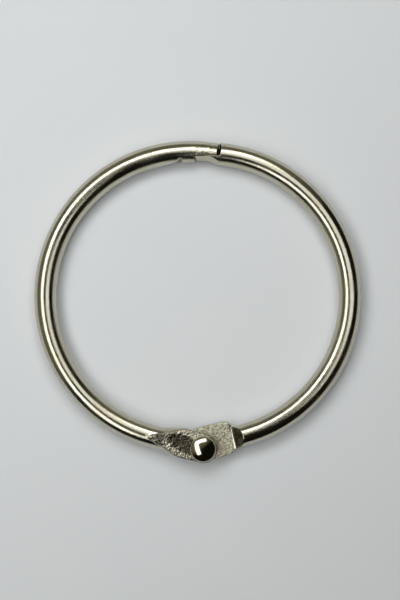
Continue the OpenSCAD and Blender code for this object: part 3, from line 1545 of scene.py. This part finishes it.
@dataclass(frozen=True)
class NickelPlate:
    """Bright nickel plate, coined to a stipple where the mesh's masks say so.

    Attributes:
        name: The material's name.
        colour: The metal's colour.
        dulling: What is left of that colour where the plate is dullest.
        cloud_size: Width of the plating's clouds, in millimetres.
        roughness: Roughness of the plain plate, least and most.
        coined_roughness: Roughness of the coined face.
        lapped_roughness: Roughness of the lap face.
        peel: Height of the fine unevenness, in millimetres.
        peel_size: Grain of the unevenness, in millimetres.
        grain: Height of the stipple, in millimetres.
        grain_size: Width of the stipple, in millimetres.
        pit_shade_colour: Colour of the painted shade in the coined grain's pits.
        pit_share: Least share of that colour on the coined face, which darkens the whole face.
        frost_size: Width of the lap face's specks, in millimetres.
        frost: Darkest and lightest colour of the lap face.
        painted_shade_colour: Colour of the painted shade in the dish, on the slopes and in the
            seam.
        painted_shade: Cover of that painted shade in the grain's pits and on its tops, lighter on
            the tops.
    """

    name: str
    colour: Colour = (0.56, 0.54, 0.45, 1.0)
    dulling: Colour = (0.93, 0.91, 0.85, 1.0)
    cloud_size: float = 4.0
    roughness: tuple[float, float] = (0.14, 0.22)
    coined_roughness: float = 0.2
    lapped_roughness: float = 0.46
    peel: float = 0.011
    peel_size: float = 0.2
    grain: float = 0.07
    grain_size: float = 0.19
    # Painted shade in the coined grain's pits
    pit_shade_colour: Colour = (0.1, 0.075, 0.05, 1.0)
    pit_share: float = 0.25
    frost_size: float = 0.3
    frost: tuple[Colour, Colour] = ((0.29, 0.275, 0.195, 1.0), (0.59, 0.565, 0.45, 1.0))
    # Painted shade in the dish, on the slopes and in the seam
    painted_shade_colour: Colour = (0.022, 0.015, 0.008, 1.0)
    painted_shade: tuple[float, float] = (1.0, 0.68)

    def create(self, groups: PlatingGroups) -> bpy.types.Material:
        """Makes the material.

        Args:
            groups: The shared node groups.

        Returns:
            The material.
        """
        material, nodes, shader = new_material(self.name)
        place = nodes.add("ShaderNodeTexCoord").outputs["Object"]
        to_mm = {"Vector": place, "Scale": (1 / MM,) * 3}
        place = nodes.add("ShaderNodeMapping", to_mm).outputs[0]
        coined, lapped, hollow = (nodes.mask(name) for name in ("coined", "lapped", "hollow"))
        cloud = nodes.group(groups.clouds, {"Place": place, "Size": self.cloud_size})["Cloud"]
        fine = {"Place": place, "Size": self.peel_size, "Strength": self.peel * MM}
        peel = nodes.group(groups.peel, fine)["Height"]
        stipple = nodes.group(groups.stipple, {"Place": place, "Size": self.grain_size})

        rough = nodes.remap(cloud, (0.0, 1.0), self.roughness)
        rough = nodes.mix(coined, rough, self.coined_roughness)
        rough = nodes.mix(lapped, rough, self.lapped_roughness)

        dull = tuple(c * left for c, left in zip(self.colour, self.dulling))
        colour = nodes.mix_colour(cloud, self.colour, dull)
        # Painted shade in the coined grain's pits, with a share of the same dark colour over the
        # whole coined face
        pits = nodes.remap(stipple["Pits"], (0.0, 1.0), (self.pit_share, 1.0))
        pits = nodes.math("MULTIPLY", pits, coined)
        colour = nodes.mix_colour(pits, colour, self.pit_shade_colour)
        specks = nodes.group(groups.stipple, {"Place": place, "Size": self.frost_size})
        specks = nodes.remap(specks["Height"], (0.55, 1.15), (0.0, 1.0))
        colour = nodes.mix_colour(lapped, colour, nodes.mix_colour(specks, *self.frost))
        # Painted shade where the hollow mask says, deepest in the grain's pits and lighter on its
        # tops
        painted_shade = nodes.remap(stipple["Height"], (0.75, 1.2), self.painted_shade)
        painted_shade = nodes.math("MULTIPLY", hollow, painted_shade)
        colour = nodes.mix_colour(painted_shade, colour, self.painted_shade_colour)

        grain = nodes.math("MULTIPLY", stipple["Height"], nodes.math("MAXIMUM", coined, lapped))
        grain = nodes.math("MULTIPLY", grain, self.grain * MM)
        height = nodes.math("ADD", grain, peel)
        bump = {"Strength": 1.0, "Distance": 1.0, "Height": height}
        normal = nodes.add("ShaderNodeBump", bump).outputs[0]
        looks = {"Base Color": colour, "Metallic": 1.0, "Roughness": rough, "Normal": normal}
        nodes.feed(shader, looks)
        return material


# ---------------------------------------------------------------------------------------
# Stage


@dataclass(frozen=True)
class Lamp:
    """A soft rectangular lamp.

    Attributes:
        name: Its name.
        azimuth: Its direction in plan, in degrees from +X.
        zenith: Its angle from straight up, in degrees.
        size: Its width and height, in metres.
        radiance: How bright its face is.
        spared: The piece that it doesn't light, or None.
        distance: Its distance from the ring, in metres.
        colour: Its colour.
    """

    name: str
    azimuth: float
    zenith: float
    size: tuple[float, float]
    radiance: float
    spared: str | None = None
    distance: float = 0.18
    colour: tuple[float, float, float] = (1.0, 0.99, 0.97)

    def place(self, target: Vector) -> None:
        """Puts the lamp up, facing a point.

        Args:
            target: The point, in metres.
        """
        light = bpy.data.lights.new(self.name, "AREA")
        light.shape = "RECTANGLE"
        light.size, light.size_y = self.size
        light.energy = self.radiance * math.pi * self.size[0] * self.size[1]
        light.color = self.colour
        lamp = bpy.data.objects.new(self.name, light)
        bpy.context.scene.collection.objects.link(lamp)
        azimuth, zenith = math.radians(self.azimuth), math.radians(self.zenith)
        out = math.sin(zenith)
        away = Vector((out * math.cos(azimuth), out * math.sin(azimuth), math.cos(zenith)))
        lamp.location = target + away * self.distance
        lamp.rotation_euler = away.to_track_quat("Z", "Y").to_euler()
        if self.spared:
            unlit = bpy.data.collections.new(f"{self.name}_spares")
            unlit.objects.link(bpy.data.objects[self.spared])
            unlit.collection_objects[0].light_linking.link_state = "EXCLUDE"
            lamp.light_linking.receiver_collection = unlit


@dataclass
class Stage:
    """Camera, floor, lamps and the dim room round them.

    Attributes:
        layout: Where the wires lie.
        lamps: The lamps.
        view_centre: Middle of the view on the wire's plane, in millimetres.
        view_height: Height of the view on that plane.
        distance: Distance of the camera.
        floor_r: Radius of the floor, in metres.
        paper: Darkest and lightest colour of the floor.
        fade: Distances between which the floor turns to the horizon's colour, in metres.
        lit_way: The way in which the room is brightest.
        lit_edge: How far that way the dark side ends and the fully lit side begins.
        skirting: Heights between which the room turns to the horizon's colour.
        dark: The room's colour on its dark side.
        dim: The room's colour on its lit side.
        pale: The colour at the horizon.
    """

    layout: Layout
    lamps: tuple[Lamp, ...]
    view_centre: tuple[float, float] = (0.232, -0.458)
    view_height: float = 80.83
    distance: float = 150.0
    floor_r: float = 3.0
    paper: tuple[Colour, Colour] = ((0.78, 0.82, 0.865, 1.0), (0.81, 0.85, 0.89, 1.0))
    fade: tuple[float, float] = (0.055, 0.15)
    lit_way: tuple[float, float, float] = (-0.643, 0.766, 0.0)
    lit_edge: tuple[float, float] = (-0.1, 0.3)
    skirting: tuple[float, float] = (0.18, 0.05)
    dark: Colour = (0.007, 0.006, 0.004, 1.0)
    dim: Colour = (0.15, 0.14, 0.09, 1.0)
    pale: Colour = (0.6, 0.61, 0.61, 1.0)

    def build(self) -> None:
        """Sets everything up round the ring."""
        self._camera()
        self._floor()
        for lamp in self.lamps:
            lamp.place(self.layout.origin * MM)
        self._room()

    def _camera(self) -> None:
        """Looks straight down at the ring."""
        camera = bpy.data.cameras.new("camera")
        camera.lens = camera.sensor_width * self.distance / self.view_height
        camera.clip_start = 0.01
        camera.clip_end = 20.0
        eye = bpy.data.objects.new("camera", camera)
        bpy.context.scene.collection.objects.link(eye)
        eye.location = (self.layout.origin + Vector((*self.view_centre, self.distance))) * MM
        bpy.context.scene.camera = eye
        bpy.context.scene.view_settings.view_transform = "Standard"

    def _floor(self) -> None:
        """A pale floor that leans with the ring, from the rivet's tail to the far wire."""
        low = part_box("rivet")[0]
        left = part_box("left_half_ring")
        far = Vector((0.0, left[1].y - self.layout.wire_r * MM, left[0].z))
        near = Vector((0.0, self.layout.rivet.y * MM + self.layout.origin.y * MM, low.z))
        bpy.ops.mesh.primitive_circle_add(
            vertices=64, radius=self.floor_r, fill_type="NGON", location=near
        )
        floor = join("floor", bpy.context.active_object)
        floor.rotation_euler.x = math.atan2(far.z - near.z, far.y - near.y)
        apply_transform(floor)
        floor.data.materials.append(self._paper())

    def _paper(self) -> bpy.types.Material:
        """The floor's pale matt finish, which turns to the horizon's colour far away.

        Returns:
            The material.
        """
        material, nodes, shader = new_material("pale_floor")
        place = nodes.add("ShaderNodeTexCoord").outputs["Object"]
        texture = {"Vector": place, "Scale": 60.0, "Detail": 2.0}
        noise = nodes.add("ShaderNodeTexNoise", texture).outputs[0]
        shade = nodes.mix_colour(noise, *self.paper)
        nodes.feed(shader, {"Base Color": shade, "Roughness": 0.75, "Specular IOR Level": 0.2})
        # Beyond the lamps' reach the floor stays pale by itself, for the eye and in mirrors
        path = nodes.add("ShaderNodeLightPath").outputs
        seen = nodes.math("ADD", path["Is Camera Ray"], path["Is Glossy Ray"])
        seen = nodes.math("ADD", seen, path["Is Transmission Ray"])
        seen = nodes.math("MINIMUM", seen, 1.0)
        far = nodes.add("ShaderNodeVectorMath", {0: place}, operation="LENGTH").outputs["Value"]
        share = nodes.math("MULTIPLY", seen, nodes.remap(far, self.fade, (0.0, 1.0)))
        glow = nodes.add("ShaderNodeEmission", {"Color": self.pale}).outputs[0]
        mix = {0: share, 1: shader.outputs[0], 2: glow}
        surface = nodes.add("ShaderNodeMixShader", mix).outputs[0]
        nodes.feed(material.node_tree.nodes["Material Output"], {"Surface": surface})
        return material

    def _room(self) -> None:
        """A dim room, darkest towards the near right, with a pale skirting at the horizon."""
        world = bpy.data.worlds.new("room")
        bpy.context.scene.world = world
        world.use_nodes = True
        nodes = NodeTree(world.node_tree)
        way = nodes.add("ShaderNodeTexCoord").outputs["Generated"]
        ways = {0: way, 1: self.lit_way}
        lit_side = nodes.add("ShaderNodeVectorMath", ways, operation="DOT_PRODUCT").outputs["Value"]
        height = nodes.add("ShaderNodeSeparateXYZ", {0: way}).outputs["Z"]
        lit = nodes.remap(lit_side, self.lit_edge, (0.0, 1.0))
        colour = nodes.mix_colour(lit, self.dark, self.dim)
        low = nodes.remap(height, self.skirting, (0.0, 1.0))
        colour = nodes.mix_colour(low, colour, self.pale)
        nodes.feed(world.node_tree.nodes["Background"], {"Color": colour})


LAMPS = (
    Lamp("lamp_back", azimuth=110, zenith=34, size=(0.2, 0.055), radiance=3.7),
    Lamp("lamp_left", azimuth=198, zenith=30, size=(0.21, 0.07), radiance=2.5),
    Lamp(
        "lamp_right", azimuth=38, zenith=19, size=(0.17, 0.1), radiance=1.25, spared="rivet_dressed"
    ),
)
EYES = {
    Side.LEFT: EyeShape(
        pads=((2.0, (0, 0)), (0.6, (2.8, 1.5)), (0.6, (2.8, -1.35))),
        rim=0.35,
        blend_end=5.7,
        dish=Dish(centre=(2.0, -0.09), half_length=3.4, half_width=1.25, depth=0.22, turn=11),
    ),
    Side.RIGHT: EyeShape(pads=((2.35, (0, 0.35)), (2.25, (3, 0.25))), rim=0.3),
}


def dress(piece: bpy.types.Object, finish: bpy.types.Material) -> None:
    """Gives a finished piece its material, and reports the piece.

    Args:
        piece: The piece.
        finish: Its material.
    """
    piece.data.materials.clear()
    piece.data.materials.append(finish)
    LOG.info("%s: %d faces", piece.name, len(piece.data.polygons))


def main() -> None:
    """Builds the ring's pieces and the stage."""
    logging.basicConfig(level=logging.INFO, format="%(name)s: %(message)s")
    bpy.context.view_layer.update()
    select_only()
    layout = Layout.from_frame(arc_spread=2.25, radius_diff=0.2)
    bench = WireBench(layout)
    lock = LockEnd(bench)
    groups = PlatingGroups.create()
    wire_finish = NickelPlate("plated_wire").create(groups)
    rivet_finish = NickelPlate("plated_rivet", roughness=(0.07, 0.12), peel=0.002).create(groups)
    for side in Side:
        half = HalfRing(side, bench, HingeEnd(bench, EYES[side]), lock).build()
        dress(half, wire_finish)
        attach(half, f"{side.value}_half")
        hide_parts(f"{side.value}_half_ring")
    rivet = Rivet(layout).build()
    dress(rivet, rivet_finish)
    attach(rivet, "left_half")
    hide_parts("rivet")
    Stage(layout, LAMPS).build()


if __name__ == "__main__":
    main()
